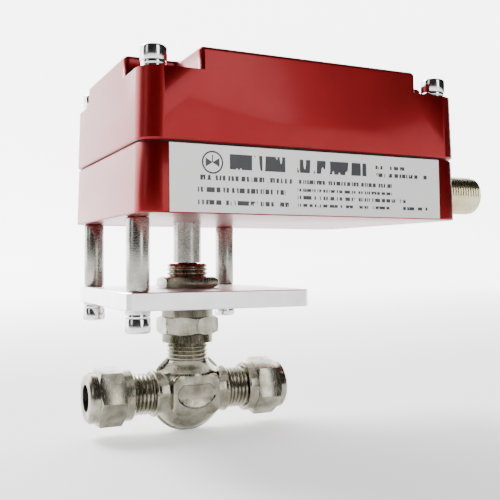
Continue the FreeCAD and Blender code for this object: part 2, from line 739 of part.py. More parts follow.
def post_studs():
    edge = "screw_dia / 8"
    length = f"base_floor + screw_dia - {SPARE} / 2 + 1.5 * screw_dia"
    stud = turned(
        "post_stud",
        [
            ("0", "0"),
            (f"screw_dia / 2 - {edge}", "0"),
            ("screw_dia / 2", edge),
            ("screw_dia / 2", f"{length} - {edge}"),
            (f"screw_dia / 2 - {edge}", length),
            ("0", length),
        ],
    )
    return copies("post_studs", stud, post_places("housing_bottom - 1.5 * screw_dia"))


def mounting_plate():
    x, y = "post_span_x / 2 + plate_margin", "post_span_y / 2 + plate_margin"
    blank = flat_part("mounting_plate_blank", rectangle(f"-({x})", f"-({y})", x, y), "plate_thick")
    doc.recompute()
    thick = value("plate_thick")
    dress(blank, "Chamfer", blank.Tip, upright_edges(blank.Tip.Shape, 0, thick), "0.3 * plate_margin")
    flats = level_edges(blank.Tip.Shape, 0) + level_edges(blank.Tip.Shape, thick)
    dress(blank, "Chamfer", blank.Tip, flats, "0.06 * plate_margin")
    put(blank, "stem_x", "0", "plate_underside")
    foot, through = f"plate_underside - {SPARE}", f"plate_thick + 2 * {SPARE}"
    holes = [cylinder("panel_hole", "thread_radius + 3 * thread_gap", through, "stem_x", "0", foot)]
    for number, place in enumerate(post_places(foot), start=1):
        holes.append(cylinder(f"plate_hole_{number}", "screw_clear", through, *place))
    return cut("mounting_plate", blank, holes)


# ---------------------------------------------------------------- valve


def hex_barrel(name, flats, length, start, turn=0.0):
    """A hexagonal length whose corners are turned off at both ends."""
    radius = f"({flats}) / 2 / cos(30 deg)"
    corner = f"({radius} - ({flats}) / 2)"
    end = f"({start}) + ({length})"
    blank = turned(
        name + "_round",
        [
            ("0", start),
            (f"({flats}) / 2", start),
            (radius, f"({start}) + {corner} * tan(30 deg)"),
            (radius, f"{end} - {corner} * tan(30 deg)"),
            (f"({flats}) / 2", end),
            ("0", end),
        ],
    )
    return common(name, blank, prism(name + "_prism", flats, length, z=start, turn=turn))


def valve_arms():
    """Both arms as one bar along Z, with the threads that the tube nuts run on."""
    foot = "thread_radius - thread_depth"
    outer = [
        ("arm_dia / 2", "arm_length - thread_depth"),
        ("arm_dia / 2 + thread_depth / 2", "arm_length - thread_depth"),
        ("arm_dia / 2 + thread_depth / 2", "arm_length"),
        (foot, "arm_length"),
        *ridges("thread_radius", "thread_depth", "thread_pitch",
                "arm_length + thread_pitch / 2", "arm_thread_end - thread_pitch / 4"),
        ("0", "arm_thread_end - thread_pitch / 4"),
    ]  # fmt: skip
    inner = [(radius, f"-({height})") for radius, height in reversed(outer)]
    return put(turned("valve_arms", inner + outer), "stem_x", "0", "0", **ALONG_X)


def arm_bores(side, turn):
    """The tube socket and its flared mouth, along the arm's own Z from the stem axis."""
    bore = turned(
        side + "_socket",
        [
            ("0", "valve_length / 2 - tube_depth"),
            ("tube_hole", "valve_length / 2 - tube_depth"),
            ("tube_hole", "arm_thread_end - ferrule_seat"),
            ("tube_hole + ferrule_slope * ferrule_seat", "arm_thread_end"),
            ("0", "arm_thread_end"),
        ],
    )
    return put(bore, "stem_x", "0", "0", **turn)


def valve_body():
    globe = doc.addObject("Part::Sphere", "valve_globe")
    flat = "asin(globe_half_depth / globe_radius)"
    bind(globe, Radius="globe_radius", Angle1=f"-{flat}", Angle2=flat)
    put(globe, "stem_x", "0", "0", (-1, 1, 1), 120.0)
    shoulder = doc.addObject("Part::Cone", "valve_shoulder")
    bind(
        shoulder, Radius1="globe_radius - shoulder_step", Radius2="neck_dia / 2 - thread_depth",
        Height="neck_start - globe_radius / 2",
    )  # fmt: skip
    put(shoulder, "stem_x", "0", "globe_radius / 2")
    neck = turned(
        "valve_neck",
        [
            ("0", "0"),
            ("neck_dia / 2 - thread_depth", "0"),
            *ridges("neck_dia / 2", "thread_depth", "thread_pitch", "neck_start", "neck_top"),
            ("0", "neck_top"),
        ],
    )
    put(neck, "stem_x")
    face = block("valve_pad", "pad_length", "pad_reach", "pad_height",
                 "stem_x - pad_length / 2", "-pad_reach / 2", "-pad_height / 2")  # fmt: skip
    bores = [arm_bores("inlet", AGAINST_X), arm_bores("outlet", ALONG_X)]
    flow, seat = "flow_dia / 2", "seat_height"
    low = f"-{flow} - 0.4 * {seat}"
    bores += [
        cylinder("valve_chamber", "chamber_dia / 2", "neck_top", "stem_x", "0", seat),
        cylinder("valve_orifice", "seat_dia / 2", f"{seat} - ({low})", "stem_x", "0", low),
        cylinder("outlet_passage", flow, "passage_end - chamber_dia / 4",
                 "stem_x + chamber_dia / 4", "0", f"{seat} + {flow}", (0, 1, 0), 90.0),
        cylinder("inlet_passage", flow, "passage_end + seat_dia / 2",
                 "stem_x + seat_dia / 2", "0", low, (0, 1, 0), -90.0),
    ]  # fmt: skip
    return cut("valve_body", joined("valve_forging", [globe, shoulder, neck, face, valve_arms()]), bores)


def bonnet():
    core = turned(
        "bonnet_core",
        [
            ("0", "bonnet_bottom"),
            ("bonnet_skirt_dia / 2", "bonnet_bottom"),
            ("bonnet_skirt_dia / 2", "bonnet_hex_bottom"),
            ("bonnet_collar_dia / 2", "bonnet_hex_bottom"),
            ("bonnet_collar_dia / 2", "plate_underside"),
            *ridges("thread_radius", "thread_depth", "thread_pitch",
                    "plate_underside", "bonnet_top - 0.9 * thread_pitch"),
            ("thread_radius", "bonnet_top - 0.6 * thread_pitch"),
            ("thread_radius - 0.5 * thread_pitch", "bonnet_top"),
            ("0", "bonnet_top"),
        ],
    )  # fmt: skip
    hexagon = hex_barrel("bonnet_hex", "bonnet_flats", "bonnet_hex_length", "bonnet_hex_bottom", HEX_TURN)
    bores = [
        cylinder("bonnet_thread_bore", "neck_dia / 2 + thread_gap",
                 f"neck_top - bonnet_bottom + 1.5 * {SPARE}", z=f"bonnet_bottom - {SPARE}"),
        cylinder("bonnet_stem_bore", "stem_dia / 2 + running_gap", "bonnet_top", z="bonnet_bottom"),
        cylinder("bonnet_packing_bore", "packing_dia / 2", "bonnet_top", z="packing_floor"),
    ]  # fmt: skip
    return put(cut("bonnet", joined("bonnet_solid", [core, hexagon]), bores), "stem_x")


def panel_nut():
    nut = hex_barrel("panel_nut_hex", "bonnet_flats", "panel_nut_thick", "0", HEX_TURN)
    through = f"panel_nut_thick + 2 * {SPARE}"
    bore = cylinder("panel_nut_bore", "thread_radius + thread_gap", through, z=f"-{SPARE}")
    return put(cut("panel_nut", nut, [bore]), "stem_x", "0", "plate_top")


def packing():
    inner, outer = "stem_dia / 2 + running_gap", "packing_dia / 2 - thread_gap"
    rings = ring("stem_packing", inner, outer, "packing_length")
    gland = ring("packing_gland", inner, outer, "gland_length - thread_gap")
    return [
        put(rings, "stem_x", "0", "packing_floor"),
        put(gland, "stem_x", "0", "packing_floor + packing_length + thread_gap"),
    ]


def valve_stem():
    stem = turned(
        "valve_stem",
        [
            ("0", "seat_height - needle_reach"),
            ("needle_radius - needle_reach * needle_taper", "seat_height - needle_reach"),
            ("stem_dia / 2", "needle_top"),
            ("stem_dia / 2", "coupling_bottom - needle_gap"),
            ("stem_neck_dia / 2", "coupling_bottom - needle_gap"),
            ("stem_neck_dia / 2", "coupling_bottom + stem_grip"),
            ("0", "coupling_bottom + stem_grip"),
        ],
    )
    return put(stem, "stem_x")


def stem_coupling():
    side = "drive_square + 2 * running_gap"
    blank = ring("coupling_blank", "0", "coupling_dia / 2", "coupling_length")
    tools = [
        cylinder("coupling_bore", "stem_neck_dia / 2 + thread_gap", f"stem_grip + thread_gap + {SPARE}",
                 z=f"-{SPARE}"),
        block("coupling_socket", side, side, f"socket_depth + {SPARE}",
              f"-({side}) / 2", "0", "coupling_length - socket_depth"),
        cylinder("coupling_screw_hole", "set_screw_dia / 2 + thread_gap", "coupling_dia",
                 "0", "0", "stem_grip / 2", (1, 0, 0), -90.0),
    ]  # fmt: skip
    return put(cut("stem_coupling", blank, tools), "stem_x", "0", "coupling_bottom")


def coupling_set_screw():
    start = "stem_neck_dia / 2 + thread_gap"
    return cylinder(
        "coupling_set_screw", "set_screw_dia / 2", f"coupling_dia / 2 - {start} - set_screw_sink",
        "stem_x", start, "coupling_bottom + stem_grip / 2", (1, 0, 0), -90.0,
    )  # fmt: skip


def tube_nut(name, x, turn, hex_turn):
    """A tube nut along its own Z, which runs from its mouth towards the valve."""
    skirt = "nut_nose_length + nut_hex_length"
    core = turned(
        name + "_core",
        [
            ("0", "0"),
            ("nut_nose_dia / 2 - nut_nose_edge", "0"),
            ("nut_nose_dia / 2", "nut_nose_edge"),
            ("nut_nose_dia / 2", skirt),
            ("nut_skirt_dia / 2", skirt),
            ("nut_skirt_dia / 2", "nut_length - nut_skirt_edge"),
            ("nut_skirt_dia / 2 - nut_skirt_edge", "nut_length"),
            ("0", "nut_length"),
        ],
    )
    hexagon = hex_barrel(name + "_hex", "nut_flats", "nut_hex_length", "nut_nose_length", hex_turn)
    bore = turned(
        name + "_bore",
        [
            ("0", f"-{SPARE}"),
            ("tube_hole", f"-{SPARE}"),
            ("tube_hole", "nut_mouth_length"),
            ("tube_hole + nut_mouth_step", "nut_mouth_length"),
            ("thread_radius + thread_gap", "nut_mouth_length + nut_mouth_flare"),
            ("thread_radius + thread_gap", f"nut_length + {SPARE}"),
            ("0", f"nut_length + {SPARE}"),
        ],
    )
    return put(cut(name, joined(name + "_solid", [core, hexagon]), [bore]), x, **turn)


def ferrule_pair(name, points):
    """One node of two ferrules, each along its own Z from its nut's mouth."""
    group = doc.addObject("Part::Compound", name)
    links = []
    for number, (x, turn) in enumerate((("0", ALONG_X), ("valve_length", AGAINST_X)), start=1):
        links.append(put(turned(f"{name}_{number}", points), x, **turn))
    group.Links = links
    return group


def ferrules():
    back = "nut_mouth_length + ferrule_gap"
    end = f"{back} + back_ferrule_length"
    front = f"{end} + ferrule_gap"
    nose = "arm_in_nut + ferrule_seat - ferrule_nose"
    return [
        ferrule_pair(
            "back_ferrules",
            [
                ("tube_hole", back),
                ("tube_hole + back_ferrule_tail", back),
                ("tube_hole + back_ferrule_wall", f"{end} - back_ferrule_edge"),
                ("tube_hole + back_ferrule_wall", end),
                ("tube_hole", end),
            ],
        ),
        ferrule_pair(
            "front_ferrules",
            [
                ("tube_hole", front),
                ("tube_hole + ferrule_slope * ferrule_seat - thread_gap", front),
                ("tube_hole + ferrule_slope * ferrule_seat - thread_gap", "arm_in_nut"),
                ("tube_hole + ferrule_slope * ferrule_nose - thread_gap", nose),
                ("tube_hole", nose),
            ],
        ),
    ]


# ---------------------------------------------------------------- drive


def drive_place(x="0", y="0", height="0"):
    """A place in the drive, from the stem axis at the housing's bottom."""
    return (f"stem_x + ({x})", y, f"housing_bottom + ({height})")


def involute_wire(teeth, module, pressure, play):
    """One closed outline of an involute spur gear, a tooth centred on +X."""
    pitch = module * teeth / 2
    base = pitch * math.cos(pressure)
    tip, root = pitch + module, pitch - 1.25 * module
    half = math.pi / (2 * teeth) - play / (4 * pitch) + math.tan(pressure) - pressure

    def flank(radius):
        if radius <= base:
            return half
        roll = math.sqrt((radius / base) ** 2 - 1)
        return half - (roll - math.atan(roll))

    def at(radius, angle):
        return Vector(radius * math.cos(angle), radius * math.sin(angle), 0)

    low = max(base, root)
    start = flank(low)
    radii = [low + (tip - low) * i / FLANK_STEPS for i in range(FLANK_STEPS + 1)]
    edges = []
    for tooth in range(teeth):
        middle = 2 * math.pi * tooth / teeth
        following = middle + math.pi / teeth
        for side in (-1, 1):
            curve = Part.BSplineCurve()
            points = [at(r, middle + side * flank(r)) for r in radii]
            curve.interpolate(points if side < 0 else points[::-1])
            foot = at(root, middle + side * start)
            if side < 0 and root < low:
                edges.append(Part.LineSegment(foot, points[0]).toShape())
            edges.append(curve.toShape())
            if side < 0:
                end = at(tip, middle + flank(tip))
                edges.append(Part.Arc(points[-1], at(tip, middle), end).toShape())
            elif root < low:
                edges.append(Part.LineSegment(points[0], foot).toShape())
        gap_end = at(root, 2 * following - middle - start)
        edges.append(Part.Arc(at(root, middle + start), at(root, following), gap_end).toShape())
    return Part.Wire(edges)


def gear_solid(teeth, width, bore, floor=0.0, phase=0.0):
    """A spur gear on Z with a round bore; phase turns it by that many teeth."""
    count = int(round(value(teeth)))
    pressure = math.radians(value("pressure_angle"))
    wire = involute_wire(count, value("gear_module"), pressure, value("backlash"))
    solid = Part.Face(wire).extrude(Vector(0, 0, value(width)))
    solid = solid.cut(Part.makeCylinder(value(bore), value(width)))
    solid.rotate(Vector(), Vector(0, 0, 1), 360.0 * phase / count)
    solid.translate(Vector(0, 0, floor))
    return solid


def gear_feature(name, shape):
    item = doc.addObject("Part::Feature", name)
    item.Shape = shape
    return item


def output_gear():
    bore, floor = "shaft_dia / 2 + seat_gap", value("output_gear_floor")
    solid = gear_solid("output_teeth", "output_gear_width", bore, floor)
    hub_floor = value("bearing_top") + value("thread_gap")
    hub = Part.makeCylinder(value("shaft_dia / 2 + bearing_ring"), floor - hub_floor, Vector(0, 0, hub_floor))
    hub = hub.cut(Part.makeCylinder(value(bore), value("base_height")))
    solid = solid.fuse(hub)
    reach = 0.6 * value("gear_module * output_teeth / 2")
    for i in range(WEB_HOLES):
        angle = 2 * math.pi * (i + 0.5) / WEB_HOLES
        middle = Vector(reach * math.cos(angle), reach * math.sin(angle), floor)
        solid = solid.cut(Part.makeCylinder(0.3 * reach, value("output_gear_width"), middle))
    return put(gear_feature("output_gear", solid.removeSplitter()), *drive_place())


def output_shaft():
    groove = "gear_plate_top + 2 * thread_gap"
    bar = turned(
        "output_shaft_bar",
        [
            ("0", "bearing_sill - 2 * thread_gap"),
            ("shaft_dia / 2", "bearing_sill - 2 * thread_gap"),
            ("shaft_dia / 2", groove),
            ("0.45 * shaft_dia", groove),
            ("0.45 * shaft_dia", f"{groove} + clip_thick + 2 * thread_gap"),
            ("shaft_dia / 2", f"{groove} + clip_thick + 2 * thread_gap"),
            ("shaft_dia / 2", f"{groove} + 3 * clip_thick"),
            ("0", f"{groove} + 3 * clip_thick"),
        ],
    )
    square = block("output_shaft_square", "drive_square", "drive_square", "drive_square_reach + bearing_sill",
                   "-drive_square / 2", "0", "-drive_square_reach")  # fmt: skip
    return put(joined("output_shaft", [bar, square]), *drive_place())


def shaft_retaining_ring():
    clip = ring("shaft_retaining_ring", "0.45 * shaft_dia + seat_gap", "0.65 * shaft_dia", "clip_thick")
    return put(clip, *drive_place(height="gear_plate_top + 3 * thread_gap"))


def bearing(name, height):
    """A shielded ball bearing drawn as one ring with a shallow recess in each face."""
    low, high = "shaft_dia / 2 + bearing_ring", "bearing_dia / 2 - bearing_ring"
    dip, width = "bearing_recess", "bearing_width"
    body = turned(
        name,
        [
            ("shaft_dia / 2 + seat_gap", "0"),
            (low, "0"),
            (low, dip),
            (high, dip),
            (high, "0"),
            ("bearing_dia / 2", "0"),
            ("bearing_dia / 2", width),
            (high, width),
            (high, f"{width} - {dip}"),
            (low, f"{width} - {dip}"),
            (low, width),
            ("shaft_dia / 2 + seat_gap", width),
        ],
    )
    return put(body, *drive_place(height=height))


def intermediate_gear():
    bore, floor = "arbor_dia / 2 + running_gap", value("idler_floor")
    pinion = gear_solid("pinion_teeth", "wheel_floor - idler_floor", bore, floor, phase=0.5)
    wheel = gear_solid("wheel_teeth", "wheel_width", bore, value("wheel_floor"))
    return put(gear_feature("intermediate_gear", pinion.fuse(wheel)), *drive_place("idler_x"))


def intermediate_arbor():
    return cylinder(
        "intermediate_arbor", "arbor_dia / 2", "gear_plate_top - base_floor - 2 * thread_gap",
        *drive_place("idler_x", "0", "base_floor + 2 * thread_gap"),
    )  # fmt: skip


def motor_pinion():
    solid = gear_solid("pinion_teeth", "wheel_width + gear_stack_gap", "arbor_dia / 2 + seat_gap", phase=0.5)
    return put(
        gear_feature("motor_pinion", solid), *drive_place("motor_x", "0", "wheel_floor - gear_stack_gap / 4")
    )


def motor_shaft():
    floor = "wheel_floor - gear_stack_gap / 2"
    return cylinder(
        "motor_shaft", "arbor_dia / 2", f"gear_plate_top + motor_length / 2 - ({floor})",
        *drive_place("motor_x", "0", floor),
    )  # fmt: skip


def motor_screw_places(height):
    reach = "(motor_side / 2 - plate_screw_dia)"
    return [
        drive_place(f"motor_x + {i} * {reach}", f"{j} * {reach}", height) for i in (-1, 1) for j in (-1, 1)
    ]


def motor_body():
    half = "motor_side / 2"
    case = flat_part("motor_case", rectangle(f"-{half}", f"-{half}", half, half), "motor_length")
    doc.recompute()
    uprights = upright_edges(case.Tip.Shape, 0, value("motor_length"))
    dress(case, "Chamfer", case.Tip, uprights, "0.08 * motor_side")
    put(case, *drive_place("motor_x", "0", "gear_plate_top"))
    pilot = cylinder("motor_pilot", "motor_pilot_dia / 2", f"gear_plate_thick / 3 + {SPARE}",
                     *drive_place("motor_x", "0", "gear_plate_top - gear_plate_thick / 3"))  # fmt: skip
    tools = [
        cylinder("motor_shaft_hole", "arbor_dia / 2 + 8 * running_gap",
                 "gear_plate_thick + 0.6 * motor_length",
                 *drive_place("motor_x", "0", "gear_plate_floor"))
    ]  # fmt: skip
    tapping = f"motor_length / 3 + {SPARE}"
    for number, place in enumerate(motor_screw_places(f"gear_plate_top - {SPARE}"), start=1):
        tools.append(cylinder(f"motor_tapping_{number}", "small_screw_hole", tapping, *place))
    return cut("motor_body", joined("motor_solid", [case, pilot]), tools)


def small_screw(name, length):
    shank = "plate_screw_dia"
    return cap_screw(name, shank, f"1.8 * {shank}", shank, f"0.8 * {shank}", length)


def motor_screws():
    screw = small_screw("motor_screw", "gear_plate_thick - plate_screw_dia + motor_length / 4")
    places = motor_screw_places("gear_plate_floor + plate_screw_dia")
    return copies("motor_screws", screw, places, axis=(1, 0, 0), angle=180.0)


def spacer_places(height):
    left = "tab_left + spacer_dia / 2 + 1.5 * gear_plate_edge"
    right = "gear_plate_right - spacer_dia / 2 - 1.5 * gear_plate_edge"
    near = "(gear_plate_tab - spacer_dia / 2 - gear_plate_edge / 2)"
    far = "(gear_plate_half - spacer_dia / 2 - gear_plate_edge)"
    return [
        drive_place(x, f"{sign} * {y}", height) for x, y in ((left, near), (right, far)) for sign in (-1, 1)
    ]


def gear_plate():
    tab, half = "gear_plate_tab", "gear_plate_half"
    blank = flat_part(
        "gear_plate_blank",
        [
            ("tab_left", f"-{tab}"),
            ("gear_plate_left", f"-{tab}"),
            ("gear_plate_left", f"-{half}"),
            ("gear_plate_right", f"-{half}"),
            ("gear_plate_right", half),
            ("gear_plate_left", half),
            ("gear_plate_left", tab),
            ("tab_left", tab),
        ],
        "gear_plate_thick",
    )
    put(blank, *drive_place(height="gear_plate_floor"))
    floor, through = f"gear_plate_floor - {SPARE}", f"gear_plate_thick + 2 * {SPARE}"
    tools = [
        cylinder("upper_bearing_seat", "bearing_dia / 2 + thread_gap", through,
                 *drive_place(height="gear_plate_floor + gear_plate_sill")),
        cylinder("upper_bearing_hole", "bearing_dia / 2 - bearing_ring", through, *drive_place(height=floor)),
        cylinder("arbor_plate_hole", "arbor_dia / 2 + thread_gap", through,
                 *drive_place("idler_x", "0", floor)),
        cylinder("motor_plate_hole", "motor_pilot_dia / 2 + thread_gap", through,
                 *drive_place("motor_x", "0", floor)),
        cylinder("sensor_plate_hole", "sensor_dia / 4 + thread_gap", through,
                 *drive_place("0", "sensor_y", floor)),
    ]  # fmt: skip
    for number, place in enumerate(spacer_places(floor), start=1):
        tools.append(cylinder(f"spacer_plate_hole_{number}", "small_screw_hole", through, *place))
    for number, place in enumerate(motor_screw_places(floor), start=1):
        tools.append(cylinder(f"motor_plate_hole_{number}", "small_screw_hole", through, *place))
        seat = f"plate_screw_dia + {SPARE}"
        tools.append(cylinder(f"motor_head_seat_{number}", "plate_screw_dia", seat, *place))
    for number, place in enumerate(board_screw_places(f"-gear_plate_half - {SPARE}"), start=1):
        tools.append(
            cylinder(f"board_tapping_{number}", "small_screw_hole", "3 * plate_screw_dia",
                     *place, (1, 0, 0), -90.0)
        )
    return cut("gear_plate", blank, tools)


def gear_plate_hardware():
    tube = ring("gear_plate_spacer", "small_screw_hole", "spacer_dia / 2", "gear_plate_floor - base_floor")
    screw = small_screw("gear_plate_screw", f"gear_plate_top - base_floor / 4 - {SPARE} / 2")
    return [
        copies("gear_plate_spacers", tube, spacer_places("base_floor")),
        copies("gear_plate_screws", screw, spacer_places("gear_plate_top")),
    ]


def position_sensor():
    case = cylinder("sensor_case", "sensor_dia / 2", "sensor_length",
                    *drive_place("0", "sensor_y", "gear_plate_top"))  # fmt: skip
    bush = cylinder("sensor_bush", "sensor_dia / 4", f"gear_plate_thick + {SPARE}",
                    *drive_place("0", "sensor_y", "gear_plate_floor"))  # fmt: skip
    bore = cylinder("sensor_bore", "arbor_dia / 2 + running_gap", "gear_plate_thick + 0.7 * sensor_length",
                    *drive_place("0", "sensor_y", f"gear_plate_floor - {SPARE}"))  # fmt: skip
    return cut("position_sensor", joined("sensor_solid", [case, bush]), [bore])


def sensor_shaft():
    floor = "output_gear_floor - gear_stack_gap / 2"
    return cylinder(
        "sensor_shaft", "arbor_dia / 2", f"gear_plate_top + sensor_length / 2 - ({floor})",
        *drive_place("0", "sensor_y", floor),
    )  # fmt: skip


def sensor_gear():
    """It meets the output gear across -Y, so a gap faces that way."""
    solid = gear_solid("sensor_teeth", "output_gear_width", "arbor_dia / 2 + seat_gap")
    count = value("sensor_teeth")
    solid.rotate(Vector(), Vector(0, 0, 1), -90.0 + 180.0 / count)
    return put(gear_feature("sensor_gear", solid), *drive_place("0", "sensor_y", "output_gear_floor"))


# ---------------------------------------------------------------- circuit board


def board_screw_places(y):
    height = "gear_plate_floor + gear_plate_thick / 2"
    return [drive_place(f"board_left + {share} * board_length", y, height) for share in (0.2, 0.85)]


def circuit_board():
    blank = block("board_blank", "board_length", "board_thick", "board_height",
                  "stem_x + board_left", "board_y + board_thick / 2",
                  "housing_bottom + board_floor")  # fmt: skip
    holes = [
        cylinder(f"board_hole_{number}", "small_screw_hole", "3 * board_thick", *place, (1, 0, 0), -90.0)
        for number, place in enumerate(board_screw_places("board_y - board_thick"), start=1)
    ]
    return cut("circuit_board", blank, holes)


def board_components():
    """On the board's front face: (start, floor, length, reach, height) as shares of the board."""
    chips = (
        ("terminal_strip", 0.05, 0.05, 0.32, 4.5, 0.22),
        ("controller_chip", 0.48, 0.40, 0.14, 1.0, 0.24),
        ("driver_chip", 0.50, 0.08, 0.12, 1.2, 0.20),
        ("trim_block", 0.70, 0.72, 0.10, 3.5, 0.18),
        ("inductor", 0.72, 0.12, 0.16, 4.0, 0.26),
    )
    parts = []
    for name, start, floor, length, reach, height in chips:
        parts.append(
            block(
                name, f"{length} * board_length", f"{reach}", f"{height} * board_height",
                f"stem_x + board_left + {start} * board_length", f"board_y - {reach} / 2",
                f"housing_bottom + board_floor + {floor} * board_height",
            )  # fmt: skip
        )
    for number, share in enumerate((0.32, 0.42), start=1):
        parts.append(
            cylinder(
                f"capacitor_{number}", "capacitor_dia / 2", "capacitor_height",
                *drive_place(f"board_left + {share} * board_length", "board_y",
                             "board_floor + 0.8 * board_height"),
                (1, 0, 0), 90.0,
            )  # fmt: skip
        )
    group = doc.addObject("Part::Compound", "board_components")
    group.Links = parts
    return group


def board_hardware():
    length = "-gear_plate_half - board_back"
    tube = ring("board_spacer", "small_screw_hole", "spacer_dia / 2", length)
    screw = small_screw("board_screw", f"{length} + board_thick + 2 * plate_screw_dia")
    forward = {"axis": (1, 0, 0), "angle": 90.0}
    return [
        copies("board_spacers", tube, board_screw_places("-gear_plate_half"), **forward),
        copies("board_screws", screw, board_screw_places("board_y"), **forward),
    ]


# ---------------------------------------------------------------- the whole


def build():
    return [
        housing_base(),
        cover_gasket(),
        housing_cover(),
        rating_label(),
        *cover_fasteners(),
        connector_shell(),
        connector_insert(),
        connector_pins(),
        connector_seal(),
        *standoffs(),
        post_studs(),
        mounting_plate(),
        *plate_fasteners(),
        valve_body(),
        bonnet(),
        panel_nut(),
        *packing(),
        valve_stem(),
        stem_coupling(),
        coupling_set_screw(),
        tube_nut("inlet_tube_nut", "0", ALONG_X, INLET_NUT_TURN),
        tube_nut("outlet_tube_nut", "valve_length", AGAINST_X, OUTLET_NUT_TURN),
        *ferrules(),
        output_shaft(),
        output_gear(),
        bearing("lower_bearing", "bearing_sill"),
        bearing("upper_bearing", "gear_plate_floor + gear_plate_sill"),
        shaft_retaining_ring(),
        intermediate_gear(),
        intermediate_arbor(),
        motor_pinion(),
        motor_shaft(),
        motor_body(),
        motor_screws(),
        gear_plate(),
        *gear_plate_hardware(),
        position_sensor(),
        sensor_shaft(),
        sensor_gear(),
        circuit_board(),
        board_components(),
        *board_hardware(),
    ]


def check(nodes):
    for item in doc.Objects:
        if "Invalid" in item.State or "Error" in item.State:
            raise RuntimeError(f"{item.Label} failed: {item.State}")
    for node in nodes:
        if node.Shape.isNull() or not node.Shape.isValid():
            raise RuntimeError(f"{node.Label} has no valid shape")
        if not node.Shape.Solids:
            raise RuntimeError(f"{node.Label} has no solid")


def export(nodes):
    os.makedirs("parts", exist_ok=True)
    for node in nodes:
        node.Shape.exportStep(os.path.join("parts", node.Label + ".step"))


fill_sheet()
sub_parts = build()
doc.recompute()
check(sub_parts)
export(sub_parts)
print(len(sub_parts), "sub-parts")
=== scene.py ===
import json
import math

import bmesh
import bpy
from mathutils import Matrix, Vector


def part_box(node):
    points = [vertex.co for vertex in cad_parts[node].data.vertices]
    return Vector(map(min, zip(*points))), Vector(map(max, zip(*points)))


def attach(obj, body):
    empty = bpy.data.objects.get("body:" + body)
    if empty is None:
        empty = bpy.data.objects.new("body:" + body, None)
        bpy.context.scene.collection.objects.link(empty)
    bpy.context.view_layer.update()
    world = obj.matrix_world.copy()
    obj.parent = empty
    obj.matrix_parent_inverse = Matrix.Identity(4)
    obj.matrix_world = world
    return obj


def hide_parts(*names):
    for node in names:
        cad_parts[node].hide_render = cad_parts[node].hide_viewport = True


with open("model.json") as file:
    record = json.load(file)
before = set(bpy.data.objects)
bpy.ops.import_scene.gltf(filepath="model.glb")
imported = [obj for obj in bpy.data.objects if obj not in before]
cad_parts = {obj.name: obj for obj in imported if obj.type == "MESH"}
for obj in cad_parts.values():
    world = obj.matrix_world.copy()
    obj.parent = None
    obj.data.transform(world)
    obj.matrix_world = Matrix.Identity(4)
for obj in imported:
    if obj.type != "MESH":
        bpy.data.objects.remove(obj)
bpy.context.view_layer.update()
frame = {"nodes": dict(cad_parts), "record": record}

MM = 0.001
MERGE = 0.0004 * MM
ROUND = 96
SHARP = 28.0  # degrees


# ---------------------------------------------------------------- finishes


class Amount:
    """A socket of a finish. Arithmetic on it adds Math nodes."""

    def __init__(self, finish, socket):
        self.finish = finish
        self.socket = socket

    def worked(self, operation, *inputs):
        return self.finish.node("ShaderNodeMath", {"operation": operation}, dict(enumerate(inputs)))

    def __add__(self, other):
        return self.worked("ADD", self, other)

    __radd__ = __add__

    def __sub__(self, other):
        return self.worked("SUBTRACT", self, other)

    def __rsub__(self, other):
        return self.worked("SUBTRACT", other, self)

    def __mul__(self, other):
        return self.worked("MULTIPLY", self, other)

    __rmul__ = __mul__

    def __pow__(self, other):
        return self.worked("POWER", self, other)

    def __gt__(self, other):
        return self.worked("GREATER_THAN", self, other)

    def __lt__(self, other):
        return self.worked("LESS_THAN", self, other)

    def __abs__(self):
        return self.worked("ABSOLUTE", self)

    def larger(self, other):
        return self.worked("MAXIMUM", self, other)


